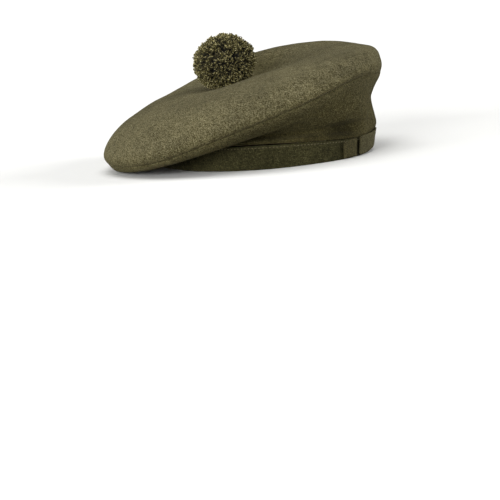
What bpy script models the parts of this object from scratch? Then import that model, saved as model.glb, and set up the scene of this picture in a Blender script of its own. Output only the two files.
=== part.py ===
"""A tam o' shanter: a wide round crown of felted wool on a folded headband, with a wool pompom.

The rim of the headband lies on z = 0, and the origin is below the middle of the hat's extents.
The front of the hat faces -Y and the wearer's left is +X, so the crown droops towards -X.
Angles are in degrees and go round the hat from the wearer's left, with the front at -90.
"""

import math
from collections import namedtuple

import bmesh
import bpy
import numpy as np
from mathutils import Matrix, Vector

MM = 0.001

# Headband: an oval between an ellipse and a rounded box. It leans out at the wearer's left.
# The widths are outside ones.
RIM_CENTRE = Vector((15.5 * MM, 6.5 * MM, 0))
RIM_WIDTH = 164 * MM
RIM_LENGTH = 200 * MM
RIM_SQUARENESS = 2.2
BAND_HEIGHT = 18.5 * MM
BAND_WALL = 3.0 * MM
BAND_EDGE_ROUND = 0.9 * MM
BAND_LEAN = 4.5 * MM
LEAN_ANGLE = -15

# Crown: two pieces of cloth, sewn together under a soft rolled edge.
CLOTH = 2.2 * MM
CROWN_CENTRE = Vector((1.5 * MM, 1.5 * MM, 0))
CROWN_INSET = 0.8 * MM  # how far the crown's cloth sits inside the band's outer face
BULGE_RISE = 2.5 * MM  # height of the bulge over the band's top edge
GAP = 0.3 * MM

# Pompom, and the flat place on the crown where it is sewn.
TOORIE_WIDTH = 49 * MM
TOORIE_HEIGHT = 44 * MM  # before its underside is cut flat
TOORIE_SEAT = Vector((-4.5 * MM, 7.5 * MM, 59.3 * MM))
SEAT_RADIUS = 13 * MM
SEAT_TILT = 9  # degrees down towards the wearer's right
TOORIE_SIDES = 28
TOORIE_RINGS = 18

OLIVE_LIT = (0.135, 0.12, 0.065)
OLIVE_SHADE = (0.10, 0.09, 0.05)
YARN = (0.085, 0.078, 0.04)
FELT_ROUGHNESS = 0.95
YARN_ROUGHNESS = 1.0

SHARP_ANGLE = math.radians(50)  # edges that turn more than this stay sharp
SEGMENTS = 60  # round the crown and the band
TOP_ROWS = 3  # in the span between two points of a section
UNDER_ROWS = 2
SECTION_STEP = 30  # degrees between the rows of the two tables below

# Sections through the crown, in millimetres. Heights end in _z. reach is from the crown's centre
# to the widest point, and the _in columns go back from there. The _out columns go outwards from
# the headband. The brow and the dish lie on the way from the pompom to the widest point.
Top = namedtuple("Top", "angle reach edge_z shoulder_in shoulder_z brow_z dish_z")
TOP_SECTIONS = (
    Top(-180, 115, 16.5, 14, 32, 44, 54),
    Top(-150, 114, 21, 13, 37, 48, 56.5),
    Top(-120, 112, 37, 12, 48, 56, 61.5),
    Top(-90, 113, 54.5, 11, 64, 67.5, 67.5),
    Top(-60, 113, 66, 10, 76, 77, 71.5),
    Top(-30, 113, 66, 7, 79.5, 79, 71),
    Top(0, 112, 69, 8, 82, 80.5, 71),
    Top(30, 112, 70, 9, 83.5, 75.5, 66),
    Top(60, 111, 63, 10, 76.5, 69, 62),
    Top(90, 110, 46, 11, 58.5, 61, 60),
    Top(120, 111, 28, 12, 39, 49.5, 56.5),
    Top(150, 111, 18.5, 13, 31, 43.5, 54),
)
BROW_SHARE = 0.72
DISH_SHARE = 0.42

# The fold lies halfway from the waist to the lowest point of the rolled edge.
Under = namedtuple("Under", "angle seam_in seam_z low_in low_z fold_z waist_out waist_z bulge_out")
UNDER_SECTIONS = (
    Under(-180, 4, 9.8, 12, 3.5, 24, 8, 29, 3),
    Under(-150, 4, 14, 12, 9, 24, 8, 29, 3),
    Under(-120, 4, 30, 12, 21.5, 29, 5, 29, 2),
    Under(-90, 4, 48, 11, 35, 33, 2, 29, 1),
    Under(-60, 3, 60, 9, 46, 39, 1.5, 33, 1.5),
    Under(-30, 2, 58, 6, 49, 44, 1.3, 39, 4.2),
    Under(0, 3, 60, 8, 50, 44, 2, 37, 3),
    Under(30, 4, 61, 9, 51, 44, 3, 36, 2),
    Under(60, 4, 56, 10, 46, 41, 3, 35, 2),
    Under(90, 4, 41, 9, 34, 32, 1, 28, 1),
    Under(120, 4, 24, 9, 18.5, 26, 2, 26.5, 1.5),
    Under(150, 4, 12.5, 12, 6, 25, 6, 28.5, 2.5),
)

# Cloth pieces on the headband. Angles go round the rim in degrees, and the rest is in millimetres.
Tab = namedtuple("Tab", "name start end thick start_top end_top start_foot end_foot")
TABS = (
    Tab("badge_tab", -73.5, -64.8, 1.8, 13, 15, 0.8, 0.8),
    Tab("badge_patch", -64, -24, 2.2, 15.5, 18, 1, 4),
)
TAB_EDGE_ROUND = 0.5 * MM
TAB_STEP = 4  # degrees between a cloth piece's cross-sections
TAB_FEWEST_STEPS = 4


def direction(angle):
    return Vector((math.cos(math.radians(angle)), math.sin(math.radians(angle)), 0))


def rim_point(angle, inset=0.0):
    """The headband's outer face from its centre, or a parallel oval inside it."""
    half_x, half_y = RIM_WIDTH / 2 - inset, RIM_LENGTH / 2 - inset
    way = direction(angle)
    powers = abs(way.x / half_x) ** RIM_SQUARENESS + abs(way.y / half_y) ** RIM_SQUARENESS
    return way * powers ** (-1 / RIM_SQUARENESS)


def band_point(angle, height, inset=0.0):
    """The headband's outer face at this height, or a face inside it."""
    lean = BAND_LEAN * max(0, math.cos(math.radians(angle - LEAN_ANGLE))) ** 2
    place = RIM_CENTRE + rim_point(angle, inset) + direction(angle) * lean * height / BAND_HEIGHT
    return place + Vector((0, 0, height))


def smooth_between(before, start, end, after, share):
    """Catmull-Rom: a smooth value or point between start and end."""
    return 0.5 * (
        2 * start
        + (end - before) * share
        + (2 * before - 5 * start + 4 * end - after) * share**2
        + (3 * start - before - 3 * end + after) * share**3
    )


def row_at(angle, table):
    """A table's row at any angle, smoothly between its rows."""
    steps = (angle + 180) / SECTION_STEP
    first = math.floor(steps)
    rows = [np.array(table[(first + i) % len(table)]) for i in (-1, 0, 1, 2)]
    return type(table[0])(*smooth_between(*rows, steps - first))


def raised(place, height):
    return Vector((place.x, place.y, height * MM))


def under_points(angle):
    """The underside's cloth in one section, from the headband out to the seam."""
    way = direction(angle)
    row = row_at(angle, UNDER_SECTIONS)
    widest = CROWN_CENTRE + way * row_at(angle, TOP_SECTIONS).reach * MM
    foot = band_point(angle, BAND_HEIGHT + GAP, CROWN_INSET)
    bulge = foot + way * row.bulge_out * MM + Vector((0, 0, BULGE_RISE))
    waist = foot + way * row.waist_out * MM
    lowest = widest - way * row.low_in * MM
    return [
        foot,
        bulge,
        raised(waist, row.waist_z),
        raised(waist.lerp(lowest, 0.5), row.fold_z),
        raised(lowest, row.low_z),
        raised(widest - way * row.seam_in * MM, row.seam_z),
    ]


def top_points(angle):
    """The top's cloth in one section, from its widest point in to the pompom's seat."""
    way = direction(angle)
    row = row_at(angle, TOP_SECTIONS)
    widest = CROWN_CENTRE + way * row.reach * MM
    seat_rise = math.tan(math.radians(SEAT_TILT)) * way.x * SEAT_RADIUS
    return [
        raised(widest, row.edge_z),
        raised(widest - way * row.shoulder_in * MM, row.shoulder_z),
        raised(TOORIE_SEAT.lerp(widest, BROW_SHARE), row.brow_z),
        raised(TOORIE_SEAT.lerp(widest, DISH_SHARE), row.dish_z),
        TOORIE_SEAT + way * SEAT_RADIUS + Vector((0, 0, seat_rise)),
    ]


def smooth_line(points, first, last, rows):
    """Points on a smooth line through the given ones, from number first to number last."""
    ends = [points[0] * 2 - points[1], *points, points[-1] * 2 - points[-2]]
    line = []
    for i in range(first, last):
        for step in range(rows):
            line.append(smooth_between(*ends[i : i + 4], step / rows))
    return [*line, points[last]]


def draw_back(line, distance):
    """Shortens a line at its start."""
    line[0] = line[0] + (line[1] - line[0]).normalized() * distance
    return line


def loft(name, lines, colour, middle=None):
    """A wall of cloth through lines that run side by side round the hat. A middle point closes its top."""
    mesh = bmesh.new()
    columns = [[mesh.verts.new(point) for point in line] for line in lines]
    for left, right in zip(columns, columns[1:] + columns[:1]):
        for row in range(len(left) - 1):
            mesh.faces.new((left[row], right[row], right[row + 1], left[row + 1]))
    if middle is not None:
        top = mesh.verts.new(middle)
        for left, right in zip(columns, columns[1:] + columns[:1]):
            mesh.faces.new((left[-1], right[-1], top))
    piece = finish(name, mesh, colour, FELT_ROUGHNESS)
    shell = piece.modifiers.new("cloth", "SOLIDIFY")
    shell.thickness = CLOTH
    shell.offset = -1


def finish(name, mesh, colour, roughness):
    """Makes the object, with its own material."""
    data = bpy.data.meshes.new(name)
    mesh.to_mesh(data)
    mesh.free()
    data.shade_smooth()
    data.set_sharp_from_angle(angle=SHARP_ANGLE)
    piece = bpy.data.objects.new(name, data)
    bpy.data.collections["tam_o_shanter"].objects.link(piece)
    material = bpy.data.materials.new(name)
    material.use_nodes = True
    shader = material.node_tree.nodes["Principled BSDF"]
    shader.inputs["Base Color"].default_value = (*colour, 1)
    shader.inputs["Roughness"].default_value = roughness
    shader.inputs["Metallic"].default_value = 0
    data.materials.append(material)
    return piece


def build_crown():
    """Both crown pieces follow one smooth line in each section, which is cut at the seam."""
    top_lines, under_lines = [], []
    for i in range(SEGMENTS):
        angle = -180 + 360 * i / SEGMENTS
        under = under_points(angle)
        seam = len(under) - 1
        points = under + top_points(angle)
        from_seam = smooth_line(points, seam, len(points) - 1, TOP_ROWS)
        top_lines.append(draw_back(from_seam, GAP / 2))
        to_seam = smooth_line(points, 0, seam, UNDER_ROWS)
        under_lines.append(draw_back(to_seam[::-1], GAP / 2)[::-1])
    loft("crown_top", top_lines, OLIVE_LIT, middle=TOORIE_SEAT)
    loft("crown_underside", under_lines, OLIVE_SHADE)


def build_headband():
    """The folded band: a round-edged strip bent round the oval."""
    soft = BAND_EDGE_ROUND
    cut = soft * (1 - math.cos(math.radians(45)))
    lower = [(BAND_WALL, 0), (soft, 0), (cut, cut), (0, soft)]
    upper = [(inset, BAND_HEIGHT - height) for inset, height in reversed(lower)]
    outline = lower + upper
    mesh = bmesh.new()
    columns = []
    for i in range(SEGMENTS):
        angle = -180 + 360 * i / SEGMENTS
        places = [band_point(angle, height, inset) for inset, height in outline]
        columns.append([mesh.verts.new(place) for place in places])
    for left, right in zip(columns, columns[1:] + columns[:1]):
        for row in range(len(outline)):
            after = (row + 1) % len(outline)
            mesh.faces.new((left[row], right[row], right[after], left[after]))
    finish("headband", mesh, OLIVE_SHADE, FELT_ROUGHNESS)


def build_tab(tab):
    """A piece of cloth that follows the band's outer face, with its top edge at a slant."""
    mesh = bmesh.new()
    steps = max(TAB_FEWEST_STEPS, round((tab.end - tab.start) / TAB_STEP))
    inner, outer = -GAP, -GAP - tab.thick * MM
    rows = []
    for i in range(steps + 1):
        share = i / steps
        angle = tab.start + (tab.end - tab.start) * share
        foot = (tab.start_foot + (tab.end_foot - tab.start_foot) * share) * MM
        top = (tab.start_top + (tab.end_top - tab.start_top) * share) * MM
        corners = ((inner, foot), (outer, foot), (outer, top), (inner, top))
        places = [band_point(angle, height, inset) for inset, height in corners]
        rows.append([mesh.verts.new(place) for place in places])
    for left, right in zip(rows, rows[1:]):
        for row in range(len(left)):
            after = (row + 1) % len(left)
            mesh.faces.new((left[row], right[row], right[after], left[after]))
    mesh.faces.new(rows[0])
    mesh.faces.new(rows[-1][::-1])
    piece = finish(tab.name, mesh, OLIVE_LIT, FELT_ROUGHNESS)
    edge = piece.modifiers.new("soft edges", "BEVEL")
    edge.width = TAB_EDGE_ROUND
    edge.segments = 2
    edge.limit_method = "ANGLE"
    edge.angle_limit = SHARP_ANGLE


def build_toorie():
    """The pompom's outer form: a slightly flattened ball with a flat underside that sits on the crown."""
    mesh = bmesh.new()
    bmesh.ops.create_uvsphere(
        mesh, u_segments=TOORIE_SIDES, v_segments=TOORIE_RINGS, radius=TOORIE_WIDTH / 2
    )
    bmesh.ops.scale(mesh, vec=(1, 1, TOORIE_HEIGHT / TOORIE_WIDTH), verts=mesh.verts)
    below = TOORIE_HEIGHT / 2 * math.sqrt(1 - (SEAT_RADIUS / (TOORIE_WIDTH / 2)) ** 2)
    bmesh.ops.bisect_plane(
        mesh,
        geom=[*mesh.verts, *mesh.edges, *mesh.faces],
        plane_co=(0, 0, -below),
        plane_no=(0, 0, -1),
        clear_outer=True,
    )
    open_edges = [edge for edge in mesh.edges if edge.is_boundary]
    bmesh.ops.holes_fill(mesh, edges=open_edges, sides=0)
    lift = Matrix.Translation(Vector((0, 0, GAP + below)))
    tilt = Matrix.Rotation(math.radians(-SEAT_TILT), 4, "Y")
    bmesh.ops.transform(mesh, matrix=Matrix.Translation(TOORIE_SEAT) @ tilt @ lift, verts=mesh.verts)
    bmesh.ops.recalc_face_normals(mesh, faces=mesh.faces)
    finish("toorie", mesh, YARN, YARN_ROUGHNESS)


def main():
    for old in list(bpy.data.objects):
        bpy.data.objects.remove(old)
    hat = bpy.data.collections.new("tam_o_shanter")
    bpy.context.scene.collection.children.link(hat)
    build_headband()
    build_crown()
    for tab in TABS:
        build_tab(tab)
    build_toorie()


main()
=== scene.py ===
import math
import random
from collections import namedtuple

import bmesh
import bpy
import numpy as np
from mathutils import Matrix, Vector, noise
from mathutils.bvhtree import BVHTree


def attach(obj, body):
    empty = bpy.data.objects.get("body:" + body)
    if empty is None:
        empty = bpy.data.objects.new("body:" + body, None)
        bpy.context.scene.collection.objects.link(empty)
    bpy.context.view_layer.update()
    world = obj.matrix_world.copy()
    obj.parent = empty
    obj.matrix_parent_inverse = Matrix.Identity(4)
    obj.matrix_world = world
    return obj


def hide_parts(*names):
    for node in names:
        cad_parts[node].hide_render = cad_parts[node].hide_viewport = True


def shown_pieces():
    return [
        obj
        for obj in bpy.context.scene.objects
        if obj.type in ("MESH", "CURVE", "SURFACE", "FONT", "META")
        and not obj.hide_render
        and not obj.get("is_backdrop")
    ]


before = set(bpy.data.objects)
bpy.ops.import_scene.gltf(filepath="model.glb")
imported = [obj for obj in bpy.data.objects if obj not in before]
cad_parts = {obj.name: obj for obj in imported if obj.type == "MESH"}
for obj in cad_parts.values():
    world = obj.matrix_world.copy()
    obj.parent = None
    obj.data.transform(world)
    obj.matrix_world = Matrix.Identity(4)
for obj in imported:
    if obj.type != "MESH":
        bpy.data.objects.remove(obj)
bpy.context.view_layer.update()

# A tam o' shanter of olive wool. The front faces -Y, the wearer's left is +X, and the rim lies on
# z = 0. Angles are in degrees round the hat from the wearer's left, with the front at -90.
# Sizes are in millimetres until a mesh is made.
mm = 0.001
random.seed(7)
print("frame loaded: " + ", ".join(sorted(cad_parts)))

camera = {
    "target": (15.5, 6.5, 0),  # middle of the rim
    "azimuth": -22, "height": 6.5, "roll": 5,  # degrees
    "distance": 1425, "lens": 127,
    "aimLeft": 0.357, "aimDown": 3.083,  # degrees that the camera looks past the target
}
studio = {"floorSize": 24, "floorColour": "d6d6d4", "skyStrength": 0.07}  # size in metres
# Softness is how many degrees wide each light is, and the directions point to where it comes from.
Lamp = namedtuple("Lamp", "name strength softness comesFrom")
lamps = (
    Lamp("keyLight", 2.1, 30, (-0.96, -0.18, 0.21)),
    Lamp("frontLight", 3.0, 30, (-0.71, -0.66, 0.21)),
    Lamp("sideLight", 2.7, 26, (0.87, -0.35, 0.34)),
    Lamp("topLight", 2.5, 60, (0, 0, 1)),
    Lamp("backLight", 0.8, 60, (-0.5, 0.65, 0.57)),
)


def toLinear(hexColour):
    parts = [int(hexColour[i : i + 2], 16) / 255 for i in (0, 2, 4)]
    return tuple(c / 12.92 if c <= 0.04045 else ((c + 0.055) / 1.055) ** 2.4 for c in parts) + (1,)


def addNode(tree, kind, inputs={}, **settings):
    # Inputs are sockets to link or values to set.
    node = tree.nodes.new(kind)
    for name, value in settings.items():
        setattr(node, name, value)
    for name, value in inputs.items():
        if isinstance(value, bpy.types.NodeSocket):
            tree.links.new(value, node.inputs[name])
        else:
            node.inputs[name].default_value = value
    return node


def newMaterial(name):
    material = bpy.data.materials.new(name)
    material.use_nodes = True
    return material, material.node_tree, material.node_tree.nodes["Principled BSDF"]


def newObject(name, mesh, material):
    data = bpy.data.meshes.new(name)
    mesh.to_mesh(data)
    mesh.free()
    data.shade_smooth()
    data.materials.append(material)
    made = bpy.data.objects.new(name, data)
    bpy.context.scene.collection.objects.link(made)
    return made


def placeCamera():
    data = bpy.data.cameras.new("camera")
    data.lens = camera["lens"]
    made = bpy.data.objects.new("camera", data)
    bpy.context.scene.collection.objects.link(made)
    azimuth, height, roll = (math.radians(camera[key]) for key in ("azimuth", "height", "roll"))
    turn = Matrix.Rotation(azimuth, 4, "Z") @ Matrix.Rotation(math.pi / 2 - height, 4, "X")
    back = turn @ Vector((0, 0, camera["distance"] * mm))
    aim = Matrix.Rotation(-roll, 4, "Z")
    aim = aim @ Matrix.Rotation(math.radians(camera["aimLeft"]), 4, "Y")
    aim = aim @ Matrix.Rotation(math.radians(-camera["aimDown"]), 4, "X")
    made.matrix_world = Matrix.Translation(Vector(camera["target"]) * mm + back) @ turn @ aim
    bpy.context.scene.camera = made


def addLamp(lamp):
    data = bpy.data.lights.new(lamp.name, "SUN")
    data.energy = lamp.strength
    data.angle = math.radians(lamp.softness)
    made = bpy.data.objects.new(lamp.name, data)
    made.rotation_euler = Vector(lamp.comesFrom).to_track_quat("Z", "Y").to_euler()
    bpy.context.scene.collection.objects.link(made)


def setStage():
    # Board with a matt pale paint, which takes soft shadows and throws a little light back up.
    material, _, shader = newMaterial("studioFloor")
    shader.inputs["Base Color"].default_value = toLinear(studio["floorColour"])
    shader.inputs["Roughness"].default_value = 0.9
    shader.inputs["Specular IOR Level"].default_value = 0.1
    mesh = bmesh.new()
    bmesh.ops.create_grid(mesh, x_segments=1, y_segments=1, size=studio["floorSize"] / 2)
    floor = newObject("floor", mesh, material)
    floor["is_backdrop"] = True
    for lamp in lamps:
        addLamp(lamp)
    world = bpy.data.worlds.new("studio")
    world.use_nodes = True
    sky = world.node_tree.nodes["Background"]
    sky.inputs["Color"].default_value = (1, 1, 1, 1)
    sky.inputs["Strength"].default_value = studio["skyStrength"]
    bpy.context.scene.world = world
    bpy.context.scene.view_settings.view_transform = "Standard"


placeCamera()
setStage()
print("camera, floor and light placed")


# Melton: woven wool that was fulled until its fibres felted over the weave. It shows a mottle of
# short yellowish and dark green fibres, and a soft sheen at grazing angles. Real fibres are 0.03 mm
# wide, so bundles of them are drawn, and the clumps are a little coarser than real ones, so that
# they show from a metre away.
felt = {
    "clump": 0.68, "clumpRelief": 2,
    "fibreWidth": 0.45, "fibreLength": 4, "fibreSpacing": 0.9,
    "fibreTurns": ((0.3, 0.1, 0), (1.3, 0.5, 0.8), (0.2, 1.4, 2.1)),
    "streaks": 0.13,  # how far the bundles lighten and darken the clumps
    "brushLength": 16, "brushWidth": 2.6, "brushTurn": 0.15,
    "mottle": 7, "patch": 50,
    "relief": 0.5,
}


def meltonWool(name, dark, middle, light):
    material, tree, shader = newMaterial(name)
    place = addNode(tree, "ShaderNodeTexCoord").outputs["Object"]
    squeeze = (1, 1, felt["fibreWidth"] / felt["fibreLength"])
    fibres = 0
    for turn in felt["fibreTurns"]:
        turned = addNode(tree, "ShaderNodeMapping", {"Vector": place, "Rotation": turn})
        stretched = addNode(tree, "ShaderNodeMapping", {
            "Vector": turned.outputs[0], "Scale": squeeze})
        some = addNode(tree, "ShaderNodeTexNoise", {
            "Vector": stretched.outputs[0], "Scale": 1 / (felt["fibreSpacing"] * mm), "Detail": 1})
        strongest = addNode(tree, "ShaderNodeMath", {
            0: fibres, 1: some.outputs["Fac"]}, operation="MAXIMUM")
        fibres = strongest.outputs[0]
    clumps = addNode(tree, "ShaderNodeTexNoise", {
        "Vector": place, "Scale": 1 / (felt["clump"] * mm), "Detail": 2, "Roughness": 0.6})
    clumps = clumps.outputs["Fac"]
    streaks = addNode(tree, "ShaderNodeMapRange", {
        "Value": fibres, "From Min": 0.4, "From Max": 0.8,
        "To Min": -felt["streaks"], "To Max": felt["streaks"]})
    grain = addNode(tree, "ShaderNodeMath", {0: clumps, 1: streaks.outputs[0]}, operation="ADD")
    colour = toLinear(middle)
    for tint, start, end in ((light, 0.5, 0.72), (dark, 0.5, 0.3)):
        share = addNode(tree, "ShaderNodeMapRange", {
            "Value": grain.outputs[0], "From Min": start, "From Max": end})
        mixed = addNode(tree, "ShaderNodeMix", {
            "Factor": share.outputs[0], "A": colour, "B": toLinear(tint)}, data_type="RGBA")
        colour = mixed.outputs["Result"]
    brushed = addNode(tree, "ShaderNodeMapping", {
        "Vector": place, "Rotation": (0, 0, felt["brushTurn"]),
        "Scale": (felt["brushWidth"] / felt["brushLength"], 1, 1)})
    uneven = 0
    for vector, size, detail in (
        (brushed.outputs[0], "brushWidth", 3), (place, "mottle", 3), (place, "patch", 1),
    ):
        some = addNode(tree, "ShaderNodeTexNoise", {
            "Vector": vector, "Scale": 1 / (felt[size] * mm), "Detail": detail, "Roughness": 0.6})
        added = addNode(tree, "ShaderNodeMath", {
            0: uneven, 1: some.outputs["Fac"]}, operation="ADD")
        uneven = added.outputs[0]
    # Painted shade: where the shade attribute is high, the felt is painted darker and its colour
    # deeper.
    paintedShade = addNode(tree, "ShaderNodeAttribute", attribute_name="paintedShade").outputs["Fac"]
    value = 1
    for amount, start, end, first, last in ((uneven, 1.1, 1.9, 0.72, 1.28), (paintedShade, 0, 2, 1, 0)):
        part = addNode(tree, "ShaderNodeMapRange", {
            "Value": amount, "From Min": start, "From Max": end, "To Min": first, "To Max": last})
        times = addNode(tree, "ShaderNodeMath", {
            0: value, 1: part.outputs[0]}, operation="MULTIPLY")
        value = times.outputs[0]
    deeper = addNode(tree, "ShaderNodeMapRange", {
        "Value": paintedShade, "From Min": 0, "From Max": 2, "To Min": 1, "To Max": 1.45})
    shaded = addNode(tree, "ShaderNodeHueSaturation", {
        "Saturation": deeper.outputs[0], "Value": value, "Color": colour})
    tree.links.new(shaded.outputs[0], shader.inputs["Base Color"])
    relief = addNode(tree, "ShaderNodeMath", {
        0: clumps, 1: felt["clumpRelief"], 2: fibres}, operation="MULTIPLY_ADD")
    bump = addNode(tree, "ShaderNodeBump", {
        "Height": relief.outputs[0], "Strength": 0.8, "Distance": felt["relief"] * mm})
    tree.links.new(bump.outputs[0], shader.inputs["Normal"])
    shader.inputs["Roughness"].default_value = 0.95
    shader.inputs["Specular IOR Level"].default_value = 0.05
    shader.inputs["Sheen Weight"].default_value = 0.04
    shader.inputs["Sheen Roughness"].default_value = 0.5
    shader.inputs["Sheen Tint"].default_value = toLinear("c8c09a")
    return material


crownFelt = meltonWool("crownMelton", "232011", "49442f", "716c53")
# The headband's, tab's and patch's felts are darker copies of the crown's: painted shade under the
# crown's overhang.
bandFelt = meltonWool("bandMelton", "141408", "2a2816", "434029")
tabFelt = meltonWool("tabMelton", "201f12", "373320", "504a32")
patchFelt = meltonWool("patchMelton", "262417", "413d2a", "5e5940")

# Worsted wool yarn, cut and fluffed up. The cut ends keep the yarn's colour, and towards the inside
# of the ball it is painted darker, down to near black at the roots: painted shade deep between the
# yarns.
fluff = {"strand": 1.7, "fibre": 0.5, "relief": 0.2}


def woolYarn(name, root, dark, middle, light):
    material, tree, shader = newMaterial(name)
    place = addNode(tree, "ShaderNodeTexCoord").outputs["Object"]
    strand = addNode(tree, "ShaderNodeTexNoise", {
        "Vector": place, "Scale": 1 / (fluff["strand"] * mm), "Detail": 1, "Roughness": 0.5})
    fibre = addNode(tree, "ShaderNodeTexNoise", {
        "Vector": place, "Scale": 1 / (fluff["fibre"] * mm), "Detail": 2, "Roughness": 0.6})
    lightShare = addNode(tree, "ShaderNodeMapRange", {
        "Value": strand.outputs["Fac"], "From Min": 0.35, "From Max": 0.65})
    darkShare = addNode(tree, "ShaderNodeMapRange", {
        "Value": fibre.outputs["Fac"], "From Min": 0.6, "From Max": 0.35})
    tip = addNode(tree, "ShaderNodeAttribute", attribute_name="tip").outputs["Fac"]
    withLight = addNode(tree, "ShaderNodeMix", {
        "Factor": lightShare.outputs[0], "A": toLinear(middle), "B": toLinear(light),
    }, data_type="RGBA").outputs["Result"]
    withDark = addNode(tree, "ShaderNodeMix", {
        "Factor": darkShare.outputs[0], "A": withLight, "B": toLinear(dark),
    }, data_type="RGBA").outputs["Result"]
    fromRoot = addNode(tree, "ShaderNodeMix", {
        "Factor": tip, "A": toLinear(root), "B": withDark,
    }, data_type="RGBA").outputs["Result"]
    tree.links.new(fromRoot, shader.inputs["Base Color"])
    bump = addNode(tree, "ShaderNodeBump", {
        "Height": fibre.outputs["Fac"], "Strength": 0.4, "Distance": fluff["relief"] * mm})
    tree.links.new(bump.outputs[0], shader.inputs["Normal"])
    shader.inputs["Roughness"].default_value = 0.9
    shader.inputs["Specular IOR Level"].default_value = 0.2
    shader.inputs["Sheen Weight"].default_value = 0.08
    shader.inputs["Sheen Tint"].default_value = toLinear("c8c09a")
    return material


yarn = woolYarn("worstedYarn", "050402", "0f0d05", "2a2711", "6c6433")
# The loose strands are paler than the yarn: partly a lighter colour of their own, partly painted
# highlight.
yarnTips = woolYarn("worstedYarnTips", "0a0905", "1b1909", "6a612c", "f4e8ac")

# Spun thread with a slight fleck. The same is used near black for the ball of yarn deep inside the
# pompom, as painted shade.
fleckSize = 1.2


def spunThread(name, dark, light):
    material, tree, shader = newMaterial(name)
    place = addNode(tree, "ShaderNodeTexCoord").outputs["Object"]
    fleck = addNode(tree, "ShaderNodeTexNoise", {
        "Vector": place, "Scale": 1 / (fleckSize * mm), "Detail": 2})
    colour = addNode(tree, "ShaderNodeMix", {
        "Factor": fleck.outputs["Fac"], "A": toLinear(dark), "B": toLinear(light),
    }, data_type="RGBA").outputs["Result"]
    tree.links.new(colour, shader.inputs["Base Color"])
    shader.inputs["Roughness"].default_value = 0.8
    shader.inputs["Specular IOR Level"].default_value = 0.3
    return material


yarnCore = spunThread("worstedYarnCore", "060603", "0e0d08")
thread = spunThread("sewingThread", "3a3523", "615b42")
print("materials made")


def ways(angles):
    turn = np.radians(angles)
    return np.stack([np.cos(turn), np.sin(turn), np.zeros_like(turn)], -1)


def anglesRound(count):
    return -180 + 360 * np.arange(count) / count


def degreesFrom(middle, angles):
    return (angles - middle + 180) % 360 - 180


def bell(distance, width):
    # 1 where the distance is nothing, and fading to 0 past the width.
    return np.exp(-((distance / width) ** 2))


noiseShift = 17.3  # takes each layer of noise to a place of its own


def noiseAt(grid, size, layer=0):
    flat = grid.reshape(-1, 3) / size + layer * noiseShift
    return np.array([noise.noise(place) for place in flat]).reshape(grid.shape[:-1])


def normalsOf(grid):
    around = np.roll(grid, -1, 0) - np.roll(grid, 1, 0)
    along = np.gradient(grid, axis=1)
    normals = np.cross(around, along)
    return normals / np.maximum(np.linalg.norm(normals, axis=-1, keepdims=True), 1e-9)


def clothMesh(grid, paintedShade=None, wrapped=False):
    # A sheet whose first and last columns meet, and its first and last rows too when it is wrapped.
    if paintedShade is None:
        paintedShade = np.zeros(grid.shape[:2])
    sheet = np.dstack([grid * mm, paintedShade])
    sheet = np.concatenate([sheet, sheet[:1]])
    if wrapped:
        sheet = np.concatenate([sheet, sheet[:, :1]], 1)
    mesh = bmesh.new()
    columns, rows = sheet.shape[:2]
    bmesh.ops.create_grid(mesh, x_segments=columns - 1, y_segments=rows - 1, size=1)
    # Each point carries its painted shade as an attribute, which the felt material reads.
    paintedShadeLayer = mesh.verts.layers.float.new("paintedShade")
    for vert, (x, y, z, amount) in zip(mesh.verts, sheet.transpose(1, 0, 2).reshape(-1, 4)):
        vert.co = x, y, z
        vert[paintedShadeLayer] = amount
    bmesh.ops.remove_doubles(mesh, verts=mesh.verts, dist=0.002 * mm)
    bmesh.ops.recalc_face_normals(mesh, faces=mesh.faces)
    return mesh


band = {
    "centre": (15.5, 6.5, 0), "width": 164, "length": 200, "squareness": 2.2,
    "height": 18.5, "wall": 3.0, "lean": 4.5, "leanAngle": -15,
    # Where the top edge sags, above the tab and the patch.
    "drop": 4.2, "dropAngle": -55, "dropWidth": 36,
    "columns": 360, "faceRows": 14, "edgeSteps": 4, "outerRound": 0.6, "innerRound": 0.7,
    "bend": 0.35, "bendSize": 30, "dents": 0.12, "dentSize": 9,
    "flatRim": 4,  # below this height the bends and dents fade out, so that the rim lies flat
}


def bandPoints(angles, height, inset=0.0):
    # On the headband's outer face at this height, or on a face inside it.
    way = ways(angles)
    half = np.array([band["width"] / 2, band["length"] / 2])[:, None] - inset
    power = band["squareness"]
    powers = np.abs(way[..., 0] / half[0]) ** power + np.abs(way[..., 1] / half[1]) ** power
    lean = band["lean"] * np.clip(np.cos(np.radians(angles - band["leanAngle"])), 0, None) ** 2
    reach = powers ** (-1 / power) + lean * height / band["height"]
    places = np.array(band["centre"]) + way * reach[..., None]
    places[..., 2] = height
    return places


def bandTop(angles):
    sag = bell(degreesFrom(band["dropAngle"], angles), band["dropWidth"])
    return band["height"] - band["drop"] * sag


def bandProfile():
    # The band's section, as insets from its outer face and heights. It goes up outside and down
    # inside, with four rounded corners.
    wall, height, outer, inner = (
        band[key] for key in ("wall", "height", "outerRound", "innerRound"))
    shares = np.arange(1, band["faceRows"]) / band["faceRows"]
    profile = []
    for start, inset, level, radius in (
        (270, outer, outer, outer), (180, outer, height - outer, outer),
        (90, wall - inner, height - inner, inner), (0, wall - inner, inner, inner),
    ):
        for step in range(band["edgeSteps"] + 1):
            turn = math.radians(start - 90 / band["edgeSteps"] * step)
            profile.append((inset + radius * math.cos(turn), level + radius * math.sin(turn)))
        if start == 270:
            profile += [(0, outer + (height - 2 * outer) * share) for share in shares]
        if start == 90:
            profile += [(wall, height - inner - (height - 2 * inner) * share) for share in shares]
    return np.array(profile)


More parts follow.
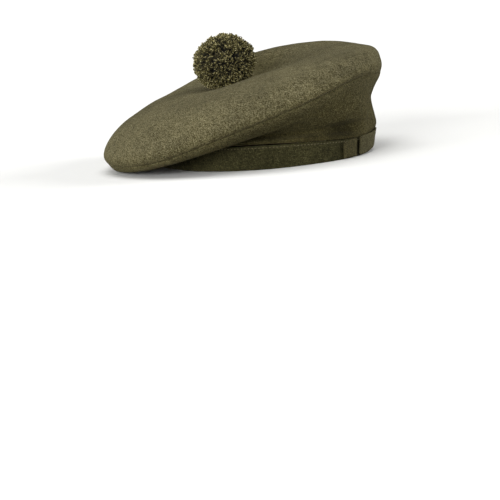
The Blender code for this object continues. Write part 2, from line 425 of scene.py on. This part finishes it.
def buildHeadband():
    angles = anglesRound(band["columns"])
    share = bandTop(angles) / band["height"]
    grid = np.stack([bandPoints(angles, level * share, inset) for inset, level in bandProfile()], 1)
    bend = noiseAt(grid, band["bendSize"], layer=11) * band["bend"]
    bend = bend + noiseAt(grid, band["dentSize"], layer=12) * band["dents"]
    free = np.clip(grid[..., 2] / band["flatRim"], 0, 1)
    grid = grid + normalsOf(grid) * (bend * free)[..., None]
    piece = newObject("headband.felt", clothMesh(grid, wrapped=True), bandFelt)
    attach(piece, "root")
    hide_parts("headband")


crown = {
    "centre": (1.5, 1.5, 0), "cloth": 2.0, "inset": 0.1, "gap": 0.3,
    "seat": (-4.5, 7.5, 59.3), "seatRadius": 13, "seatTilt": 9, "seatRings": (0.33, 0.67, 1),
    "brow": 0.72, "dish": 0.42,  # shares of the way from the pompom to the widest point
    "columns": 480,
    "topRows": (18, 16, 16, 12, 8), "underRows": (6, 12, 14, 14, 14),
    "seamDepth": 0.8, "seamWidth": 1.1, "seamRoll": 0.2, "rollPlace": 5, "rollWidth": 3,
    # Where the seam flattens out: middle and half width in degrees, and the share that it loses.
    "seamHidden": ((-15, 42), (172, 30)), "seamHiddenShare": 0.85,
    "pucker": 0.35, "puckerSpacing": 4.5, "puckerReach": 5,
    # The stitches are tighter in some places than in others.
    "tight": 0.4, "tightChange": 1.6, "tightSize": 40,
    "waves": 0.7, "waveSize": 38, "dents": 0.22, "dentSize": 13, "underWaves": 0.7,
    # How far from the seam, the pompom and the headband the waves take to reach their full height.
    "freeFromSeam": 12, "freeFromSeat": 20, "freeFromBand": 10,
    "gathers": 2.6, "gatherSpacing": 9, "gatherAngle": -38, "gatherPlace": 19, "gatherReach": 12,
    "creaseHeight": 25, "creaseWidth": 1.5, "creaseSpread": 0.35,
    "creaseWander": 1.5, "wanderSize": 34,
    "foldsEnd": 27, "foldsFade": 12,  # how far from the headband the folds fade out
    # Painted shade on the crown's felt at the seam and over the underside, and painted light on the
    # gathers.
    "seamPaintedShade": 0.6, "paintedShadeReach": 7, "underPaintedShade": 1.14,
    "paintedLightAngle": -50, "paintedLightHalf": 14, "paintedLightShare": 0.45,  # the gathers catch more light
}
# A dent behind the pompom, on the wearer's left, with painted shade in it.
dimple = {"place": (44, 60), "reach": 17, "depth": 1.2, "paintedShade": 0.7}
# The hollow above the tab, where the cloth folds in over the band, with painted shade in it.
pocket = {
    "angle": -70, "height": 18.5, "halfAngle": 13, "halfHeight": 8, "depth": 9, "fromBand": 3,
    "paintedShade": 0.5, "paintedShadeHeight": 21.5, "paintedShadeHalf": 7,
}

# Columns that end in Z are heights. Those in In are measured inwards from the crown's widest point,
# and those in Out outwards from the headband, apart from creaseIn, the crease's depth.
sectionStep = 30
Top = namedtuple("Top", "angle reach edgeZ shoulderIn shoulderZ browZ dishZ")
topSections = (
    Top(-180, 115, 16.5, 11.5, 33, 44.8, 55),
    Top(-150, 114, 20.3, 13, 37.5, 48.5, 56.5),
    Top(-120, 112, 34, 11.5, 48, 56, 61.5),
    Top(-90, 113, 50.5, 10.5, 64, 67.5, 67.5),
    Top(-60, 113, 65, 9.5, 76, 77, 71.5),
    Top(-30, 112.3, 69.5, 6.4, 78.8, 79.1, 71),
    Top(0, 111.3, 72, 6.7, 81.1, 80, 68),
    Top(30, 112, 70, 9, 83.3, 75.5, 60),
    Top(60, 111, 63, 10, 77.4, 69.5, 58),
    Top(90, 110, 46, 11, 59.5, 62.3, 58),
    Top(120, 111, 28, 12, 39.8, 50.5, 57),
    Top(150, 111, 18.5, 10.2, 32.2, 44.6, 55),
)
Under = namedtuple(
    "Under", "angle seamIn seamZ lowIn lowZ foldZ waistOut waistZ bulgeOut bulgeZ creaseIn")
underSections = (
    Under(-180, 2.4, 7.2, 11, 2.6, 24, 8, 29, 3, 21.3, 0.5),
    Under(-150, 2.6, 11.5, 12, 8, 24, 8, 29, 3, 21.3, 2),
    Under(-120, 2, 28, 12, 20.5, 29, 5, 29, 2, 21.3, 8),
    Under(-90, 1.5, 45.5, 10, 34, 33, 2, 29, 2.2, 20.5, 5),
    Under(-60, 1.5, 60, 8, 47, 40, 2, 33, 1.2, 19, 2),
    Under(-30, 1, 60, 5.2, 52, 46.5, 0, 40, 3.6, 20.5, 0),
    Under(0, 2, 60, 6.2, 52, 46, 0.8, 38.5, 3.2, 20.5, 0),
    Under(30, 3, 58.5, 9, 51, 44, 3, 36, 2, 21.3, 0.5),
    Under(60, 3, 54, 10, 46, 41, 3, 35, 2, 21.3, 0.8),
    Under(90, 3, 39, 9, 34, 32, 1, 28, 1.5, 21.3, 1.2),
    Under(120, 3, 22, 9, 18.5, 26, 2, 26.5, 1.5, 21.3, 1.2),
    Under(150, 2.4, 9.2, 11.5, 4.4, 25, 6, 28.5, 2.5, 21.3, 0.5),
)


def smoothBetween(before, start, end, after, share):
    return 0.5 * (
        2 * start
        + (end - before) * share
        + (2 * before - 5 * start + 4 * end - after) * share**2
        + (3 * start - before - 3 * end + after) * share**3
    )


def columnsAt(angles, table):
    # The table's columns at any angles, smooth between its rows.
    values = np.array(table, float)
    steps = (angles + 180) / sectionStep
    first = np.floor(steps).astype(int)
    rows = [values[(first + i) % len(table)] for i in (-1, 0, 1, 2)]
    return type(table[0])(*smoothBetween(*rows, (steps - first)[:, None]).T)


def crownPoints(angles):
    # The section's points from the headband out to the seam, and over the top to the pompom's seat.
    way = ways(angles)
    top = columnsAt(angles, topSections)
    under = columnsAt(angles, underSections)
    seat = np.array(crown["seat"])
    foot = bandPoints(angles, bandTop(angles) + crown["gap"], crown["inset"])
    widest = np.array(crown["centre"]) + way * top.reach[:, None]
    waist = foot + way * under.waistOut[:, None]
    lowest = widest - way * under.lowIn[:, None]
    seatRise = math.tan(math.radians(crown["seatTilt"])) * way[:, 0] * crown["seatRadius"]
    places = (
        (foot, foot[:, 2]),
        (foot + way * under.bulgeOut[:, None], under.bulgeZ),
        (waist, under.waistZ),
        ((waist + lowest) / 2, under.foldZ),
        (lowest, under.lowZ),
        (widest - way * under.seamIn[:, None], under.seamZ),
        (widest, top.edgeZ),
        (widest - way * top.shoulderIn[:, None], top.shoulderZ),
        (seat + (widest - seat) * crown["brow"], top.browZ),
        (seat + (widest - seat) * crown["dish"], top.dishZ),
        (seat + way * crown["seatRadius"], seat[2] + seatRise),
    )
    return np.stack([np.column_stack([place[:, :2], height]) for place, height in places], 1)


seamPlace = 5  # the seam's number in a section's points


def alongSections(points, places):
    # Smooth lines through each section's points, read at these places.
    before = points[:, :1] * 2 - points[:, 1:2]
    after = points[:, -1:] * 2 - points[:, -2:-1]
    ends = np.concatenate([before, points, after], 1)
    first = np.minimum(places.astype(int), points.shape[1] - 2)
    return smoothBetween(*(ends[:, first + i] for i in range(4)), (places - first)[:, None])


def rowPlaces(start, counts):
    spans = [start + i + np.arange(count) / count for i, count in enumerate(counts)]
    return np.concatenate([*spans, [start + len(counts)]])


def distanceAlong(grid):
    steps = np.linalg.norm(np.diff(grid, axis=1), axis=-1)
    return np.concatenate([np.zeros((len(grid), 1)), np.cumsum(steps, 1)], 1)


def seamRelief(angles, grid, fromSeam, layer):
    # The seam pulls the cloth in and puckers it, and just beyond the cloth stands a little prouder.
    seam = grid[:, :1] if fromSeam[0, 0] == 0 else grid[:, -1:]
    depth = np.full(len(grid), crown["seamDepth"])
    for middle, half in crown["seamHidden"]:
        hidden = np.exp(-((degreesFrom(middle, angles) / half) ** 4))
        depth *= 1 - crown["seamHiddenShare"] * hidden
    pull = -depth[:, None] * bell(fromSeam, crown["seamWidth"])
    roll = crown["seamRoll"] * bell(fromSeam - crown["rollPlace"], crown["rollWidth"])
    spacing = crown["puckerSpacing"]
    folds = noiseAt(seam, spacing, layer) + 0.5 * noiseAt(seam, spacing / 2, layer)
    changes = crown["tightChange"] * noiseAt(seam, crown["tightSize"], layer + 1)
    tight = np.clip(crown["tight"] + changes, 0, 1)
    fade = np.exp(-fromSeam / crown["puckerReach"])
    return pull + roll + crown["pucker"] * folds * tight * fade


def softWaves(grid):
    waves = crown["waves"] * noiseAt(grid, crown["waveSize"])
    return waves + crown["dents"] * noiseAt(grid, crown["dentSize"], layer=1)


def addWall(piece):
    wall = piece.modifiers.new("wall", "SOLIDIFY")
    wall.thickness = crown["cloth"] * mm
    wall.offset = -1


def buildCrownTop(angles, points):
    # From the seam over the rolled edge to the pompom's seat and its middle.
    top = alongSections(points, rowPlaces(seamPlace, crown["topRows"]))
    seat = np.broadcast_to(np.array(crown["seat"]), top[:, :1].shape)
    fromDimple = np.linalg.norm(top[..., :2] - np.array(dimple["place"]), axis=-1)
    pressed = bell(fromDimple, dimple["reach"])
    fromSeam = distanceAlong(top)
    free = 1 - np.exp(-fromSeam / crown["freeFromSeam"])
    relief = seamRelief(angles, top, fromSeam, layer=3) + softWaves(top) * free
    relief = relief - dimple["depth"] * pressed
    fromSeat = np.linalg.norm(top - seat, axis=-1) - crown["seatRadius"]
    relief = relief * np.clip(fromSeat / crown["freeFromSeat"], 0, 1)
    top = top + normalsOf(top) * relief[..., None]
    rings = [top[:, -1:] * (1 - share) + seat * share for share in crown["seatRings"]]
    top = np.concatenate([top, *rings], 1)
    # Painted shade near the seam and in the dimple.
    paintedShade = crown["seamPaintedShade"] * bell(distanceAlong(top), crown["paintedShadeReach"])
    paintedShade[:, : pressed.shape[1]] += dimple["paintedShade"] * pressed
    piece = newObject("crownTop", clothMesh(top, paintedShade), crownFelt)
    addWall(piece)
    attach(piece, "root")
    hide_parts("crown_top")
    return piece


def buildCrownUnderside(angles, points):
    # From the headband out to the seam.
    under = alongSections(points, rowPlaces(0, crown["underRows"]))
    height = under[..., 2]
    along = distanceAlong(under)
    fromSeam = along[:, -1:] - along
    free = 1 - np.exp(-along / crown["freeFromBand"])
    relief = seamRelief(angles, under, fromSeam, layer=5)
    relief = relief + crown["underWaves"] * softWaves(under) * free
    facing = np.clip(np.cos(np.radians(angles - crown["gatherAngle"])), 0, 1)[:, None]
    gathered = facing**2 * bell(along - crown["gatherPlace"], crown["gatherReach"])
    folds = noiseAt(under[:, :1], crown["gatherSpacing"], layer=8)
    relief = relief + crown["gathers"] * gathered * folds
    # A crease above the headband, which is wider where it is deeper.
    creaseIn = columnsAt(angles, underSections).creaseIn[:, None]
    wander = crown["creaseWander"] * noiseAt(under[:, :1], crown["wanderSize"], layer=9)
    creaseWidth = crown["creaseWidth"] + crown["creaseSpread"] * creaseIn
    nearBand = np.clip((crown["foldsEnd"] - along) / crown["foldsFade"], 0, 1)
    nearBand = nearBand**2 * (3 - 2 * nearBand)
    crease = bell(height - (crown["creaseHeight"] + wander), creaseWidth)
    relief = relief - nearBand * creaseIn * crease
    aside = degreesFrom(pocket["angle"], angles[:, None])
    nearPocket = nearBand * bell(aside, pocket["halfAngle"])
    hollow = nearPocket * bell(height - pocket["height"], pocket["halfHeight"])
    relief = relief - pocket["depth"] * hollow * (1 - bell(along, pocket["fromBand"]))
    under = under + normalsOf(under) * relief[..., None]
    # Painted shade: the underside and the hollow above the tab are painted darker, and the gathers
    # a little less dark, as painted light.
    paintedLight = bell(angles[:, None] - crown["paintedLightAngle"], crown["paintedLightHalf"])
    far = crown["underPaintedShade"] - crown["paintedLightShare"] * paintedLight
    paintedShade = far - (far - crown["seamPaintedShade"]) * bell(fromSeam, crown["paintedShadeReach"])
    deep = bell(under[..., 2] - pocket["paintedShadeHeight"], pocket["paintedShadeHalf"])
    paintedShade = paintedShade + pocket["paintedShade"] * nearPocket * deep
    piece = newObject("crownUnderside", clothMesh(under, paintedShade), crownFelt)
    addWall(piece)
    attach(piece, "root")
    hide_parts("crown_underside")


# Each tab runs from its start to its end round the band, and pairs are its sizes at the two ends.
# Lifts are how far it stands off the band, and leans how much further its top edge does.
Tab = namedtuple("Tab", "name node felt start end tops feet lifts leans")
tabs = (
    Tab("badgeTab", "badge_tab", tabFelt, -73.5, -65.2,
        (13, 15.2), (0.8, 0.8), (0.2, 0.2), (0.4, 0.2)),
    Tab("badgePatch", "badge_patch", patchFelt, -62.6, -24,
        (15.2, 16.6), (1, 4), (0.4, 0.2), (0.8, 0.2)),
)
tabCloth = {
    "thick": 2, "gap": 0.3, "edgeRound": 0.6, "slice": 1.2, "wobble": 0.25, "wobbleSize": 4,
}


def buildTab(tab):
    # A flat piece of cloth with soft edges, bent round the headband.
    thick = tabCloth["thick"]
    middle = bandPoints(np.array([tab.start, tab.end]), band["height"] / 2)
    length = np.linalg.norm(middle[1] - middle[0])
    height = tab.tops[0] - tab.feet[0]
    mesh = bmesh.new()
    bmesh.ops.create_cube(mesh, size=1)
    bmesh.ops.scale(mesh, vec=(length, thick, height), verts=mesh.verts)
    bmesh.ops.bevel(mesh, geom=mesh.edges[:], offset=tabCloth["edgeRound"], segments=3,
                    profile=0.5, affect="EDGES", material=-1)
    for axis, extent in ((0, length), (2, height)):
        cuts = round(extent / tabCloth["slice"])
        for i in range(1, cuts):
            place = Vector((0, 0, 0))
            place[axis] = extent * (i / cuts - 0.5)
            normal = Vector((0, 0, 0))
            normal[axis] = 1
            bmesh.ops.bisect_plane(mesh, geom=[*mesh.verts, *mesh.edges, *mesh.faces],
                                   plane_co=place, plane_no=normal)
    flat = np.array([vert.co for vert in mesh.verts])
    share = flat[:, 0] / length + 0.5
    angles = tab.start + (tab.end - tab.start) * share
    foot, top, lift, lean = (
        pair[0] + (pair[1] - pair[0]) * share
        for pair in (tab.feet, tab.tops, tab.lifts, tab.leans))
    rise = flat[:, 2] / height + 0.5
    heights = foot + (top - foot) * rise
    lift = lift + lean * rise**3
    wobble = tabCloth["wobble"] * noiseAt(flat, tabCloth["wobbleSize"], layer=21)
    heights = heights + wobble * np.abs(flat[:, 2]) / height * 2
    insets = -tabCloth["gap"] - lift - thick / 2 - flat[:, 1] - wobble * (flat[:, 1] > 0)
    for vert, angle, level, inset in zip(mesh.verts, angles, heights, insets):
        vert.co = bandPoints(np.array([angle]), level, inset)[0] * mm
    bmesh.ops.recalc_face_normals(mesh, faces=mesh.faces)
    piece = newObject(tab.name, mesh, tab.felt)
    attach(piece, "root")
    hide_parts(tab.node)


stitch = {
    "length": 1.8, "pitch": 2.7, "thick": 0.6, "below": 1.6, "proud": 0.1,
    "slant": 6, "slantChange": 3, "lineSteps": 1440,
}


def buildStitches():
    # One row of stitches round the headband, just under its top edge.
    angles = np.linspace(-180, 180, stitch["lineSteps"] + 1)
    line = bandPoints(angles, bandTop(angles) - stitch["below"], -stitch["proud"])
    steps = np.linalg.norm(np.diff(line, axis=0), axis=1)
    walked = np.concatenate([[0], np.cumsum(steps)])
    count = round(walked[-1] / stitch["pitch"])
    size = Vector((stitch["length"], stitch["thick"], stitch["thick"])) / 2
    mesh = bmesh.new()
    for i in range(count):
        at = walked[-1] * (i + 0.5) / count
        ends = [np.array([np.interp(at + side, walked, line[:, axis]) for axis in range(3)])
                for side in (-0.5, 0.5)]
        middle = Vector((ends[0] + ends[1]) / 2)
        along = Vector(ends[1] - ends[0]).normalized()
        out = along.cross(Vector((0, 0, 1))).normalized()
        turn = Matrix((along, out, along.cross(out))).transposed().to_4x4()
        slant = stitch["slant"] + random.uniform(-stitch["slantChange"], stitch["slantChange"])
        turn = turn @ Matrix.Rotation(math.radians(slant), 4, "Y")
        place = Matrix.Scale(mm, 4) @ Matrix.Translation(middle) @ turn
        bmesh.ops.create_uvsphere(mesh, u_segments=6, v_segments=4, radius=1,
                                  matrix=place @ Matrix.Diagonal((*size, 1)))
    piece = newObject("bandStitches", mesh, thread)
    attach(piece, "root")
    return count


toorie = {
    "width": 49, "height": 43.5, "aside": -1.2, "coreShare": 0.8,
    # Yarns in clumps that are pulled together at their ends. Pairs are ranges of random draws, and
    # reaches are shares of the ball's size past its surface.
    "clumps": 620, "yarnsPerClump": 6, "clumpPull": 0.3, "clumpShift": 0.03,
    "clumpReach": (-0.02, 0.012), "yarnReach": (-0.11, 0.044),
    # The yarn is painted dark within a share of the ball's size: painted shade deep in the ball.
    "rootShare": 0.6, "paintedShadeInside": 0.88,
    "yarnThick": 0.9, "yarnTaper": (0.9, 1, 1.05, 1.05, 1, 0.7),
    "yarnPoints": (0, 0.35, 0.62, 0.8, 0.92, 1),
    "bend": (0.52, 2.6), "crimp": 0.4, "crimpTurns": 9, "crimpStart": (0, 6), "droop": 1,
    # Yarns that point lower than this are kept clear of the crown.
    "lowestFree": 0.2, "clearance": 0.5,
    "strands": 1, "strandThick": 0.38, "strandTaper": (1, 1, 1, 0.95, 0.7),
    "strandLength": (1.82, 2.73), "strandSpread": (0.68, 1.7),
    "strandCurl": (-0.5, 0.5), "curlTurns": 4,
}


def toorieFrame():
    # The middle of the ball, and its tilt on the crown.
    seatShare = 2 * crown["seatRadius"] / toorie["width"]
    below = toorie["height"] / 2 * math.sqrt(1 - seatShare**2)
    tilt = Matrix.Rotation(math.radians(-crown["seatTilt"]), 4, "Y")
    lift = Matrix.Translation(Vector((0, 0, below + crown["gap"])))
    aside = Matrix.Translation(Vector((toorie["aside"], 0, 0)))
    return Matrix.Translation(Vector(crown["seat"])) @ tilt @ aside @ lift, below


def directionsRound(count):
    # Evenly spread directions, turned by the golden angle from one to the next.
    turn = np.arange(count) * math.pi * (3 - math.sqrt(5))
    height = 1 - 2 * (np.arange(count) + 0.5) / count
    flat = np.sqrt(1 - height**2)
    return np.stack([flat * np.cos(turn), flat * np.sin(turn), height], 1)


def yarnMesh(name, lines, taper, thick, material):
    # Lines of points to tubes of four sides.
    data = bpy.data.curves.new(name, "CURVE")
    data.dimensions = "3D"
    data.bevel_depth = thick / 2 * mm
    data.bevel_resolution = 0
    data.use_fill_caps = True
    for line in lines:
        spline = data.splines.new("POLY")
        spline.points.add(len(line) - 1)
        places = np.column_stack([line * mm, np.ones(len(line))])
        spline.points.foreach_set("co", places.ravel())
        spline.points.foreach_set("radius", taper)
    curve = bpy.data.objects.new(name, data)
    bpy.context.scene.collection.objects.link(curve)
    evaluated = curve.evaluated_get(bpy.context.evaluated_depsgraph_get())
    mesh = bpy.data.meshes.new_from_object(evaluated)
    bpy.data.objects.remove(curve)
    mesh.shade_smooth()
    mesh.materials.clear()
    mesh.materials.append(material)
    piece = bpy.data.objects.new(name, mesh)
    bpy.context.scene.collection.objects.link(piece)
    return piece


def markTips(piece, placing, half):
    # How far each point is on the way from the painted shade inside the ball to its outside.
    places = np.empty(len(piece.data.vertices) * 3)
    piece.data.vertices.foreach_get("co", places)
    places = places.reshape(-1, 3) / mm - np.array(placing.translation)
    reach = np.linalg.norm(places @ np.array(placing.to_3x3()) / half, axis=1)
    tips = (reach - toorie["paintedShadeInside"]) / (1 - toorie["paintedShadeInside"])
    layer = piece.data.attributes.new("tip", "FLOAT", "POINT")
    layer.data.foreach_set("value", np.clip(tips, 0, 1))


def clearOf(tree, points):
    # Keeps the points just above the crown's cloth.
    for i, point in enumerate(points):
        place, normal, _, _ = tree.find_nearest(Vector(point) * mm)
        over = (Vector(point) * mm - place).dot(normal) / mm
        if over < toorie["clearance"]:
            points[i] = np.array(place + normal * toorie["clearance"] * mm) / mm
    return points


def sideOf(way, rng):
    side = np.cross(way, rng.normal(size=3))
    return side / np.linalg.norm(side)


def looseStrand(line, rng):
    # It leaves the yarn near its end and curls away from it.
    start = line[-3]
    away = (line[-1] - start) / np.linalg.norm(line[-1] - start)
    aside = sideOf(away, rng)
    steps = np.linspace(0, 1, len(toorie["strandTaper"]))[:, None]
    spread = rng.uniform(*toorie["strandSpread"])
    length = rng.uniform(*toorie["strandLength"])
    curl = np.cross(away, aside) * rng.uniform(*toorie["strandCurl"])
    curled = curl * np.sin(steps * toorie["curlTurns"])
    return start + away * length * steps + aside * spread * steps**1.5 + curled


def buildToorie(crownTop):
    rng = np.random.default_rng(3)
    placing, below = toorieFrame()
    turn = np.array(placing.to_3x3())
    middle = np.array(placing.translation)
    half = np.array([toorie["width"], toorie["width"], toorie["height"]]) / 2
    tree = BVHTree.FromObject(crownTop, bpy.context.evaluated_depsgraph_get())
    shares = np.array(toorie["yarnPoints"])
    lines, strands = [], []
    centres = directionsRound(toorie["clumps"])
    centres += rng.normal(size=centres.shape) * toorie["clumpShift"]
    clumpReach = rng.uniform(*toorie["clumpReach"], toorie["clumps"])
    for way in directionsRound(toorie["clumps"] * toorie["yarnsPerClump"]):
        clump = np.argmax(centres @ way)
        pull = (centres[clump] - way) * toorie["clumpPull"]
        side = sideOf(way, rng)
        other = np.cross(way, side)
        reach = 1 + clumpReach[clump] + rng.uniform(*toorie["yarnReach"])
        outwards = toorie["rootShare"] + (reach - toorie["rootShare"]) * shares
        wave = np.sin(shares * toorie["crimpTurns"] + rng.uniform(*toorie["crimpStart"]))
        crimp = toorie["crimp"] * wave * shares
        bend = rng.uniform(*toorie["bend"]) * shares**3
        line = (way + pull * shares[:, None] ** 2) * half * outwards[:, None]
        line = line + side * bend[:, None] + other * crimp[:, None]
        line[:, 2] -= toorie["droop"] * shares**2 * (1 - way[2]) / 2
        line[:, 2] = np.maximum(line[:, 2], -below)
        line = line @ turn.T + middle
        nearCrown = way[2] < toorie["lowestFree"]
        if nearCrown:
            line = clearOf(tree, line)
        lines.append(line)
        for _ in range(toorie["strands"]):
            strand = looseStrand(line, rng)
            strands.append(clearOf(tree, strand) if nearCrown else strand)
    yarnPiece = yarnMesh("toorieYarn", lines, toorie["yarnTaper"], toorie["yarnThick"], yarn)
    strandPiece = yarnMesh(
        "toorieStrands", strands, toorie["strandTaper"], toorie["strandThick"], yarnTips)
    for piece in (yarnPiece, strandPiece):
        markTips(piece, placing, half)
    mesh = bmesh.new()
    bmesh.ops.create_icosphere(mesh, subdivisions=4, radius=1)
    bmesh.ops.scale(mesh, vec=half * toorie["coreShare"] * mm, verts=mesh.verts)
    inPlace = Matrix.Translation(middle * mm) @ placing.to_3x3().to_4x4()
    bmesh.ops.transform(mesh, matrix=inPlace, verts=mesh.verts)
    core = newObject("toorieCore", mesh, yarnCore)
    for piece in (yarnPiece, strandPiece, core):
        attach(piece, "root")
    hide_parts("toorie")


sectionAngles = anglesRound(crown["columns"])
sectionPoints = crownPoints(sectionAngles)
crownTop = buildCrownTop(sectionAngles, sectionPoints)
buildCrownUnderside(sectionAngles, sectionPoints)
buildHeadband()
print("crown and headband made")
for tab in tabs:
    buildTab(tab)
print("badge tab and patch made")
print(f"{buildStitches()} stitches made")
buildToorie(crownTop)
print("toorie made")
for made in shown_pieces():
    if made.type == "MESH":
        made.data.calc_loop_triangles()
        print(f"{made.name}: {len(made.data.loop_triangles)} triangles before modifiers")
